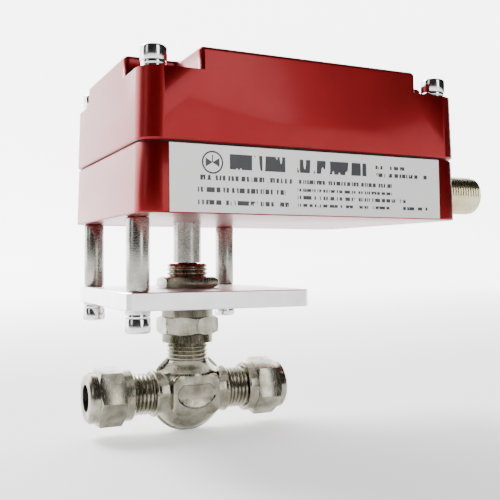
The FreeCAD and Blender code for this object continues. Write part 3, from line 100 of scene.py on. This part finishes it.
class Finish:
    """A node-based finish on one Principled shader, reading Object coordinates."""

    def __init__(self, name, **constants):
        self.material = bpy.data.materials.new(name)
        self.material.use_nodes = True
        self.tree = self.material.node_tree
        self.shader = self.tree.nodes["Principled BSDF"]
        self.place = self.node("ShaderNodeTexCoord", output="Object")
        for key, value in constants.items():
            self.shader.inputs[key.replace("_", " ")].default_value = value

    def node(self, kind, settings=None, inputs=None, output=None):
        made = self.tree.nodes.new(kind)
        for key, value in (settings or {}).items():
            setattr(made, key, value)
        for key, value in (inputs or {}).items():
            if isinstance(key, str):
                socket = next(s for s in made.inputs if s.enabled and s.name == key)
            else:
                socket = made.inputs[key]
            self.feed(socket, value)
        outlet = next(s for s in made.outputs if s.enabled and output in (None, s.name))
        return Amount(self, outlet)

    def feed(self, socket, value):
        if isinstance(value, Amount):
            self.tree.links.new(value.socket, socket)
        else:
            socket.default_value = value

    def surface(self, **inputs):
        for key, value in inputs.items():
            self.feed(self.shader.inputs[key.replace("_", " ")], value)
        return self

    def axes(self):
        """The piece's own X, Y and Z, in metres."""
        split = self.node("ShaderNodeSeparateXYZ", inputs={"Vector": self.place}).socket.node
        return [Amount(self, split.outputs[axis]) for axis in "XYZ"]

    def noise(self, size, detail=3.0, stretch=(1, 1, 1)):
        """Soft variation from 0 to 1, in lumps about size across, drawn out along the stretched axes."""
        scale = [1 / s for s in stretch]
        drawn = self.node("ShaderNodeMapping", inputs={"Vector": self.place, "Scale": scale})
        settings = {"Vector": drawn, "Scale": 1 / size, "Detail": detail}
        return self.node("ShaderNodeTexNoise", inputs=settings)

    def specks(self, size):
        """Distance to the nearest of scattered points, in cells of that size."""
        return self.node("ShaderNodeTexVoronoi", inputs={"Vector": self.place, "Scale": 1 / size})

    def spread(self, value, low, high, at_low, at_high):
        """Maps low..high to at_low..at_high, held at the ends."""
        return self.node(
            "ShaderNodeMapRange",
            {"clamp": True},
            {"Value": value, "From Min": low, "From Max": high, "To Min": at_low, "To Max": at_high},
        )

    def blend(self, factor, first, second):
        return self.node(
            "ShaderNodeMix",
            {"data_type": "RGBA"},
            {"Factor": factor, "A": (*first, 1) if isinstance(first, tuple) else first,
             "B": (*second, 1) if isinstance(second, tuple) else second},
        )  # fmt: skip

    def relief(self, height, depth):
        """A normal from a height of 0 to 1 that stands for that depth."""
        return self.node("ShaderNodeBump", inputs={"Strength": 1.0, "Distance": depth, "Height": height})


def red_enamel():
    """Deep red gloss enamel over a die casting: orange peel, faint clouding, dust-fine dullness."""
    finish = Finish("red_enamel", Metallic=0.75, Coat_Roughness=0.12, Coat_IOR=1.5)
    cloud = finish.noise(14 * MM, 4)
    peel = finish.noise(0.9 * MM, 2)
    grain = finish.noise(0.22 * MM, 2)
    colour = finish.blend(cloud, (0.17, 0.0012, 0.0025), (0.24, 0.002, 0.0045))
    dull = finish.spread(grain + cloud * 0.6, 0.5, 1.2, 0.32, 0.42)
    coat = finish.spread(cloud, 0.3, 0.7, 0.10, 0.20)
    normal = finish.relief(peel * 0.7 + grain * 0.3, 0.006 * MM)
    return finish.surface(Base_Color=colour, Roughness=dull, Coat_Weight=coat, Normal=normal)


def black_rubber():
    finish = Finish("black_rubber")
    grain = finish.noise(0.3 * MM, 4)
    colour = finish.blend(finish.noise(5 * MM), (0.008, 0.008, 0.008), (0.018, 0.017, 0.016))
    dull = finish.spread(grain, 0.3, 0.7, 0.5, 0.72)
    return finish.surface(Base_Color=colour, Roughness=dull, Normal=finish.relief(grain, 0.01 * MM))


def metal(name, bright, dark, rough, grain=(1, 1, 12), size=0.35):
    """A machined metal: fine tool lines along the stretched axis, faint stains and small scuffs."""
    finish = Finish(name, Metallic=1.0)
    lines = finish.noise(size * MM, 3, grain)
    stain = finish.noise(6 * MM, 4)
    scuff = finish.specks(1.6 * MM)
    colour = finish.blend(finish.spread(stain, 0.35, 0.7, 0.0, 1.0), bright, dark)
    marks = finish.spread(scuff, 0.02, 0.07, 0.10, 0.0)
    dull = finish.spread(lines, 0.3, 0.7, *rough) + marks + stain * 0.05
    return finish.surface(Base_Color=colour, Roughness=dull, Normal=finish.relief(lines, 0.0012 * MM))


def moulded(name, base, other, rough=(0.35, 0.5), grain=0.25, depth=0.006):
    """A moulded plastic or lacquer with a fine skin."""
    finish = Finish(name)
    skin = finish.noise(grain * MM, 3)
    cloud = finish.noise(5 * MM, 3)
    colour = finish.blend(cloud, base, other)
    dull = finish.spread(skin, 0.3, 0.7, *rough)
    return finish.surface(Base_Color=colour, Roughness=dull, Normal=finish.relief(skin, depth * MM))


def bars(finish, across, up, boxes):
    """1 inside any of the boxes, each (left, bottom, right, top) in millimetres, and 0 outside."""
    total = None
    for left, bottom, right, top in boxes:
        wide = abs(across - (left + right) / 2 * MM) < (right - left) / 2 * MM
        tall = abs(up - (bottom + top) / 2 * MM) < (top - bottom) / 2 * MM
        here = wide * tall
        total = here if total is None else total.larger(here)
    return total


def label_film():
    """White satin film printed with a plain valve symbol and unreadable grey lines."""
    finish = Finish("label_film")
    low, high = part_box("rating_label")
    x, _, z = finish.axes()
    across, up = x - low.x, z - low.z
    # heavy marks: a name block and a code block, broken into stubby shapes
    stubs = finish.noise(1.1 * MM, 0, (1, 1, 9))
    heavy = bars(finish, across, up, [(16.4, 11.3, 32.6, 15.3), (36.2, 11.4, 58.4, 15.0)])
    gaps = finish.noise(0.62 * MM, 0, (1, 1, 14))
    fine = bars(
        finish, across, up,
        [
            (7.5, 8.3, 34.5, 9.6), (7.5, 5.2, 32.5, 6.5), (7.5, 2.0, 33.5, 3.2),
            (36.2, 8.4, 67.0, 9.5), (36.2, 6.3, 67.0, 7.1), (36.2, 4.2, 72.0, 5.2), (36.2, 2.2, 66.0, 3.0),
            (61.5, 13.6, 71.5, 14.6), (61.5, 11.4, 79.5, 12.5), (68.5, 2.2, 79.5, 3.1),
        ],
    )  # fmt: skip
    # a two-triangle valve symbol inside a ring, at the left
    centre_x, centre_z = 11.6 * MM, 12.9 * MM
    dx, dz = across - centre_x, up - centre_z
    away = (dx * dx + dz * dz) ** 0.5
    ring = abs(away - 2.75 * MM) < 0.22 * MM
    bow = (abs(dz) < abs(dx) * 0.62) * (abs(dx) < 1.9 * MM)
    stalk = (abs(dx) < 0.16 * MM) * (abs(dz - 0.95 * MM) < 0.95 * MM)
    symbol = ring.larger(bow).larger(stalk)
    ink = (heavy * (stubs > 0.44)).larger(fine * (gaps > 0.47)).larger(symbol)
    paper = finish.blend(finish.noise(9 * MM, 3), (0.80, 0.80, 0.79), (0.86, 0.86, 0.85))
    colour = finish.blend(ink, paper, (0.03, 0.03, 0.035))
    skin = finish.noise(0.4 * MM, 2)
    dull = finish.spread(skin, 0.3, 0.7, 0.26, 0.36) + ink * 0.12
    return finish.surface(Base_Color=colour, Roughness=dull, Normal=finish.relief(skin, 0.002 * MM))


def valve_stainless():
    """Machined and polished stainless steel whose warm, dark colour is a painted reflection of warm, dark
    surroundings, with fine lines and darker pores.
    """
    finish = Finish("valve_stainless", Metallic=1.0)
    lines = finish.noise(0.30 * MM, 3, (1, 6, 6))
    stain = finish.noise(4 * MM, 5)
    pores = finish.specks(0.9 * MM)
    darkened = finish.spread(stain, 0.35, 0.68, 0.0, 1.0)
    # painted reflection: both colours are warm and dark to stand in for warm, dark surroundings mirrored in
    # the steel; the stain noise mixes between them
    colour = finish.blend(darkened, (0.37, 0.355, 0.29), (0.17, 0.16, 0.115))
    colour = finish.blend(finish.spread(pores, 0.03, 0.10, 0.35, 0.0), colour, (0.25, 0.24, 0.20))
    dull = finish.spread(lines, 0.3, 0.7, 0.14, 0.26) + stain * 0.06
    return finish.surface(Base_Color=colour, Roughness=dull, Normal=finish.relief(lines, 0.002 * MM))


FINISHES = {
    "red_casting": red_enamel(),
    "black_rubber": black_rubber(),
    "label_white": label_film(),
    "bright_screw": metal(
        "bright_plating", (0.86, 0.86, 0.86), (0.74, 0.74, 0.75), (0.08, 0.18), (1, 1, 4), 0.3
    ),  # fmt: skip
    "connector_brass": metal("nickel_brass", (0.66, 0.60, 0.40), (0.52, 0.44, 0.26), (0.16, 0.28), (8, 1, 1)),
    "black_plastic": moulded("black_moulding", (0.012, 0.012, 0.013), (0.022, 0.022, 0.023)),
    "contact_gold": metal("contact_gold", (0.92, 0.66, 0.24), (0.80, 0.54, 0.18), (0.14, 0.22), (6, 1, 1)),
    "satin_steel": metal(
        "satin_steel", (0.44, 0.43, 0.395), (0.25, 0.25, 0.215), (0.20, 0.30), (5, 5, 0.6), 0.25
    ),  # fmt: skip
    "plate_aluminium": metal(
        "plate_aluminium", (0.90, 0.90, 0.90), (0.82, 0.82, 0.83), (0.26, 0.38), (14, 1, 1), 0.3
    ),  # fmt: skip
    "valve_steel": valve_stainless(),
    "packing_white": moulded("pressed_packing", (0.78, 0.77, 0.73), (0.86, 0.85, 0.82), (0.4, 0.55)),
    "drive_steel": metal("ground_steel", (0.62, 0.62, 0.63), (0.48, 0.48, 0.50), (0.18, 0.30), (6, 6, 0.8)),
    "gear_brass": metal("hobbed_brass", (0.80, 0.62, 0.30), (0.66, 0.48, 0.20), (0.20, 0.32), (1, 1, 5)),
    "motor_black": moulded(
        "motor_lacquer", (0.016, 0.016, 0.018), (0.03, 0.03, 0.034), (0.3, 0.42), 0.5, 0.01
    ),  # fmt: skip
    "sensor_blue": moulded("sensor_moulding", (0.02, 0.06, 0.22), (0.03, 0.09, 0.30)),
    "board_green": moulded("solder_mask", (0.010, 0.10, 0.035), (0.016, 0.14, 0.05), (0.18, 0.3), 0.8, 0.008),
    "component_black": moulded("component_moulding", (0.014, 0.014, 0.015), (0.03, 0.03, 0.032)),
}


# ---------------------------------------------------------------- making pieces

SLOTS = {part["node"]: part["material_slot"] for part in frame["record"]["subparts"]}
BODIES = {node: body for body, nodes in frame["record"]["behaviour"]["bodies"].items() for node in nodes}


def finished(name, form, nodes, sharp=SHARP):
    """A piece in place of CAD nodes: smooth but for its sharp edges, with their body, slot and finish."""
    mesh = bpy.data.meshes.new(name)
    form.to_mesh(mesh)
    form.free()
    mesh.shade_smooth()
    mesh.set_sharp_from_angle(angle=math.radians(sharp))
    mesh.materials.append(FINISHES[SLOTS[nodes[0]]].material)
    piece = bpy.data.objects.new(name, mesh)
    bpy.context.scene.collection.objects.link(piece)
    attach(piece, BODIES[nodes[0]])
    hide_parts(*nodes)


def merged(node):
    """A copy of a CAD node's mesh with its triangles joined up."""
    form = bmesh.new()
    form.from_mesh(frame["nodes"][node].data)
    bmesh.ops.remove_doubles(form, verts=form.verts, dist=MERGE)
    return form


def refined(name, node, edge):
    """The CAD shape with smooth curves and, where edge is given, its sharp edges broken by that much."""
    form = merged(node)
    if edge:
        bmesh.ops.dissolve_limit(
            form, angle_limit=math.radians(0.4), use_dissolve_boundaries=False,
            verts=form.verts, edges=form.edges,
        )  # fmt: skip
        paired = [e for e in form.edges if len(e.link_faces) == 2]
        hard = [e for e in paired if e.calc_face_angle(0) > math.radians(SHARP)]
        bmesh.ops.bevel(
            form, geom=hard, offset=edge, offset_type="OFFSET", segments=2, profile=0.5,
            affect="EDGES", clamp_overlap=True, material=-1,
        )  # fmt: skip
    finished(name, form, [node])


def spun(outline):
    """A round form about Z from an outline of (radius, height) in millimetres."""
    form = bmesh.new()
    corners = [form.verts.new((r * MM, 0, z * MM)) for r, z in outline]
    edges = [form.edges.new(pair) for pair in zip(corners, corners[1:])]
    bmesh.ops.spin(
        form, geom=corners + edges, cent=(0, 0, 0), axis=(0, 0, 1), dvec=(0, 0, 0),
        angle=math.tau, steps=ROUND, use_merge=True, use_duplicate=False,
    )  # fmt: skip
    bmesh.ops.remove_doubles(form, verts=form.verts, dist=MERGE)
    bmesh.ops.recalc_face_normals(form, faces=form.faces)
    return form


def moved(form, matrix):
    bmesh.ops.transform(form, matrix=matrix, verts=form.verts)
    return form


def gathered(forms):
    """Several forms as one, each left as its own closed shell."""
    whole = bmesh.new()
    for form in forms:
        part = bpy.data.meshes.new("part")
        form.to_mesh(part)
        form.free()
        whole.from_mesh(part)
        bpy.data.meshes.remove(part)
    return whole


for node, item in frame["nodes"].items():
    item.data.materials.clear()
    item.data.materials.append(FINISHES[SLOTS[node]].material)

REFINED = (
    ("base_casting", "housing_base", 0.0),
    ("cover_casting", "housing_cover", 0.0),
    ("gasket_sheet", "cover_gasket", 0.0),
    ("label_sheet", "rating_label", 0.0),
    ("connector_body", "connector_shell", 0.0),
    ("connector_core", "connector_insert", 0.0),
    ("front_left_post", "standoff_front_left", 0.25),
    ("back_left_post", "standoff_back_left", 0.25),
    ("back_right_post", "standoff_back_right", 0.25),
    ("panel_plate", "mounting_plate", 0.0),
    ("bonnet_barrel", "bonnet", 0.0),
    ("panel_hex_nut", "panel_nut", 0.12),
    ("coupling_barrel", "stem_coupling", 0.0),
    ("stem_bar", "valve_stem", 0.0),
    ("inlet_nut", "inlet_tube_nut", 0.12),
    ("outlet_nut", "outlet_tube_nut", 0.12),
    ("cover_lower_washers", "cover_flat_washers", 0.08),
    ("cover_spring_washers", "cover_lock_washers", 0.10),
    ("plate_lower_washers", "plate_flat_washers", 0.08),
    ("plate_spring_washers", "plate_lock_washers", 0.10),
)
for name, node, edge in REFINED:
    refined(name, node, edge)


# ---------------------------------------------------------------- screws


HEAD_RADIUS = 3.5  # millimetres, as the next three
HEAD_HEIGHT = 4.0
SHANK_RADIUS = 2.0
SOCKET_FLATS = 3.0
KNURL = 0.965  # the knurling's low lines, as a share of the head's radius


def socket_screw(length):
    """A knurled socket-head screw about Z: its head above the origin and its shank below."""
    head, height, shank, flats = HEAD_RADIUS, HEAD_HEIGHT, SHANK_RADIUS, SOCKET_FLATS
    form = spun(
        [
            (0, -length), (shank - 0.4, -length), (shank, -length + 0.4), (shank, 0), (head - 0.15, 0),
            (head, 0.15), (head, height - 0.75), (head - 0.12, height - 0.38), (head - 0.4, height - 0.1),
            (head - 0.75, height), (flats / 2 + 0.15, height), (flats / 2, height - 0.15),
            (flats / 2, height - 2.0), (0, height - 2.4),
        ]
    )  # fmt: skip
    step = math.tau / ROUND
    for corner in form.verts:
        flat = Vector((corner.co.x, corner.co.y))
        angle = math.atan2(flat.y, flat.x)
        high = corner.co.z / MM
        on_side = abs(flat.length - head * MM) < MERGE and high > 0.1
        if on_side and round(angle / step) % 2:
            corner.co.x *= KNURL
            corner.co.y *= KNURL
        in_socket = flats / 2 * MM - MERGE < flat.length < (flats / 2 + 0.2) * MM
        if in_socket and high > height - 2.1:
            turn = 1 / math.cos(angle % math.radians(60) - math.radians(30))
            corner.co.x *= turn
            corner.co.y *= turn
    return form


def screw_set(name, node, corners, upward):
    """Screws at the corners of the node's box, each corner named by its sides: 0 low and 1 high."""
    low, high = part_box(node)
    radius, height = HEAD_RADIUS * MM, HEAD_HEIGHT * MM
    length = (high.z - low.z - height) / MM
    forms = []
    for side_x, side_y in corners:
        x = (low.x + radius, high.x - radius)[side_x]
        y = (low.y + radius, high.y - radius)[side_y]
        form = socket_screw(length)
        if upward:
            place = Matrix.Translation((x, y, high.z - height))
        else:
            place = Matrix.Translation((x, y, low.z + height)) @ Matrix.Rotation(math.pi, 4, "X")
        forms.append(moved(form, place))
    finished(name, gathered(forms), [node], 40)


screw_set("cover_cap_screws", "cover_screws", [(0, 0), (0, 1), (1, 0), (1, 1)], True)
screw_set("plate_cap_screws", "plate_screws", [(0, 0), (0, 1), (1, 1)], False)


# ---------------------------------------------------------------- valve body

STEM = (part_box("valve_stem")[0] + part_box("valve_stem")[1]) / 2
STEM.z = 0
PITCH_MM = 1.27


def ridged(root, crest, start, end):
    """Outline corners of thread ridges between two heights."""
    corners = []
    low = start
    while low + PITCH_MM <= end + 0.01:
        corners += [(root, low), (crest - 0.08, low + 0.36 * PITCH_MM), (crest, low + 0.5 * PITCH_MM)]
        corners += [(crest - 0.08, low + 0.64 * PITCH_MM)]
        low += PITCH_MM
    return [*corners, (root, low), (root, end)]


def arm_end():
    """One threaded end, along Z from the stem axis, with its tube socket and flared mouth."""
    end = 22.68
    outline = [
        (0, 12.6), (1.5, 12.6), (1.5, 15.0), (4.05, 15.0), (4.05, 19.8), (5.3, end), (5.65, end),
        *reversed(ridged(5.65, 6.35, 12.4, end - 0.1)), (5.65, 11.2), (0, 11.2),
    ]  # fmt: skip
    return spun(outline)


def forging():
    """The forged body: a bowl, two arms and a shoulder run together, then smoothed."""
    bowl = bmesh.new()
    bmesh.ops.create_uvsphere(bowl, u_segments=64, v_segments=40, radius=12.0 * MM)
    for corner in bowl.verts:
        corner.co.y *= 0.69
        corner.co.z *= 0.98
    bmesh.ops.bisect_plane(
        bowl, geom=bowl.verts[:] + bowl.edges[:] + bowl.faces[:],
        plane_co=(0, 0, 7.2 * MM), plane_no=(0, 0, 1), clear_outer=True,
    )  # fmt: skip
    bmesh.ops.holes_fill(bowl, edges=bowl.edges)
    half_arm = [(7.0, 10.8), (7.3, 11.2), (7.3, 12), (0, 12)]
    arms = spun([(radius, -along) for radius, along in reversed(half_arm)] + half_arm)
    moved(arms, Matrix.Rotation(math.pi / 2, 4, "Y"))
    shoulder = spun(
        [(0, 3), (9.8, 3), (9.6, 6.4), (8.6, 7.5), (7.6, 8.3), (6.7, 9.2), (6.3, 10.2), (0, 10.2)]
    )
    parting = spun([(0, -0.35), (12.25, -0.35), (12.45, 0), (12.25, 0.35), (0, 0.35)])
    moved(parting, Matrix.Rotation(math.pi / 2, 4, "X"))
    whole = gathered([bowl, arms, shoulder])
    mesh = bpy.data.meshes.new("forging_blank")
    whole.to_mesh(mesh)
    whole.free()
    blank = bpy.data.objects.new("forging_blank", mesh)
    bpy.context.scene.collection.objects.link(blank)
    remesh = blank.modifiers.new("run_together", "REMESH")
    remesh.mode = "VOXEL"
    remesh.voxel_size = 0.28 * MM
    bpy.context.view_layer.update()
    settled = blank.evaluated_get(bpy.context.evaluated_depsgraph_get())
    made = bpy.data.meshes.new_from_object(settled)
    bpy.data.objects.remove(blank)
    form = bmesh.new()
    form.from_mesh(made)
    every_axis = {"use_axis_x": True, "use_axis_y": True, "use_axis_z": True}
    for _ in range(7):
        bmesh.ops.smooth_vert(form, verts=form.verts, factor=0.5, **every_axis)
    return [form, parting]


def pad_with_recess():
    """The raised pad on the front, plain, with an oval recess."""
    form = bmesh.new()
    bmesh.ops.create_cube(form, size=1.0)
    for corner in form.verts:
        corner.co = Vector((corner.co.x * 15.0, corner.co.y * 4.0 - 6.8, corner.co.z * 12.3)) * MM
    deep = [e for e in form.edges if abs(e.verts[0].co.y - e.verts[1].co.y) > 3 * MM]
    bmesh.ops.bevel(
        form, geom=deep, offset=2.6 * MM, segments=8, profile=0.5, affect="EDGES", material=-1
    )
    front = min(form.faces, key=lambda f: f.calc_center_median().y)
    bmesh.ops.bevel(
        form, geom=list(front.edges), offset=0.45 * MM, segments=3, profile=0.5,
        affect="EDGES", material=-1,
    )  # fmt: skip
    front = min(form.faces, key=lambda f: f.calc_center_median().y)
    straight = [e for e in front.edges if e.calc_length() > 3 * MM]
    bmesh.ops.bisect_edges(form, edges=straight, cuts=12)
    for half_x, half_z, sink in ((6.25, 4.25, 0.0), (5.95, 3.95, 0.4), (5.7, 3.7, 0.5)):
        bmesh.ops.inset_region(form, faces=[front], thickness=0.2 * MM, use_even_offset=True)
        for corner in front.verts:
            angle = math.atan2(corner.co.z, corner.co.x)
            corner.co.x = half_x * math.cos(angle) * MM
            corner.co.z = half_z * math.sin(angle) * MM
            corner.co.y = (-8.8 + sink) * MM
    bmesh.ops.recalc_face_normals(form, faces=form.faces)
    return form


def body_forging():
    neck = spun([(0, 9.2), (5.8, 9.2), *ridged(5.8, 6.5, 9.7, 20.0), (0, 20.0)])
    right = moved(arm_end(), Matrix.Rotation(math.pi / 2, 4, "Y"))
    left = moved(arm_end(), Matrix.Rotation(-math.pi / 2, 4, "Y"))
    whole = gathered([*forging(), pad_with_recess(), neck, left, right])
    moved(whole, Matrix.Translation(STEM))
    finished("body_forging", whole, ["valve_body"], 34)


body_forging()


# ---------------------------------------------------------------- stage

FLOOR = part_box("valve_body")[0].z


def sweep():
    """A pale paper sweep: flat under the part, curving up behind it, with a painted glow that grows brighter
    towards the back.
    """
    form = bmesh.new()
    bmesh.ops.create_grid(form, x_segments=1, y_segments=160, size=1.0)
    front, bend, radius, rise = -2.5, 0.9, 0.9, 3.0
    arc = radius * math.pi / 2
    for corner in form.verts:
        along = (corner.co.y + 1) / 2 * (bend - front + arc + rise) + front
        turn = min(max((along - bend) / radius, 0), math.pi / 2)
        over = max(along - bend - arc, 0)
        back = min(along, bend) + radius * math.sin(turn)
        up = FLOOR + radius * (1 - math.cos(turn)) + over
        corner.co = Vector((corner.co.x * 4, back, up))
    bmesh.ops.recalc_face_normals(form, faces=form.faces)
    mesh = bpy.data.meshes.new("sweep")
    form.to_mesh(mesh)
    form.free()
    paper = Finish("sweep_paper")
    tone = paper.blend(paper.noise(0.4, 2), (0.8, 0.8, 0.8), (0.79, 0.79, 0.79))
    _, depth, _ = paper.axes()
    # painted light: the paper glows, dim under the part and bright at the back, in place of lamp light
    # falling off across the floor
    bright = paper.spread(depth, 0.1, 1.2, 0.13, 1.0)
    painted_glow = paper.blend(bright, (0, 0, 0), (1, 1, 1))
    paper.surface(Base_Color=tone, Roughness=0.9, Emission_Color=painted_glow, Emission_Strength=5.0)
    mesh.materials.append(paper.material)
    item = bpy.data.objects.new("sweep", mesh)
    bpy.context.scene.collection.objects.link(item)


sweep()


def softbox(name, place, target, width, height, power):
    light = bpy.data.lights.new(name, "AREA")
    light.shape = "RECTANGLE"
    light.size = width
    light.size_y = height
    light.energy = power
    item = bpy.data.objects.new(name, light)
    item.location = place
    item.rotation_euler = (Vector(target) - Vector(place)).to_track_quat("-Z", "Y").to_euler()
    bpy.context.scene.collection.objects.link(item)


MIDDLE = (0.04, 0, 0.045)
softbox("key", (0.36, -0.95, 0.38), MIDDLE, 0.3, 0.7, 3.2)
softbox("left", (-0.9, -0.25, 0.45), MIDDLE, 0.25, 0.6, 0.8)
softbox("top", (-0.30, 0.75, 0.9), (0.05, 0.55, 0), 0.5, 0.5, 26)

world = bpy.data.worlds.new("studio")
world.use_nodes = True
sky = world.node_tree.nodes["Background"]
sky.inputs["Color"].default_value = (1, 1, 1, 1)
sky.inputs["Strength"].default_value = 0.02
bpy.context.scene.world = world

YAW, PITCH, ROLL = math.radians(24.98), math.radians(0.76), math.radians(-0.13)
lens = bpy.data.cameras.new("camera")
lens.lens = 53.67
lens.sensor_width = 36
lens.clip_start = 0.01
camera = bpy.data.objects.new("camera", lens)
camera.matrix_world = (
    Matrix.Translation((-0.04918, -0.22112, 0.04089))
    @ Matrix.Rotation(-YAW, 4, "Z")
    @ Matrix.Rotation(math.pi / 2 + PITCH, 4, "X")
    @ Matrix.Rotation(ROLL, 4, "Z")
)
bpy.context.scene.collection.objects.link(camera)
bpy.context.scene.camera = camera
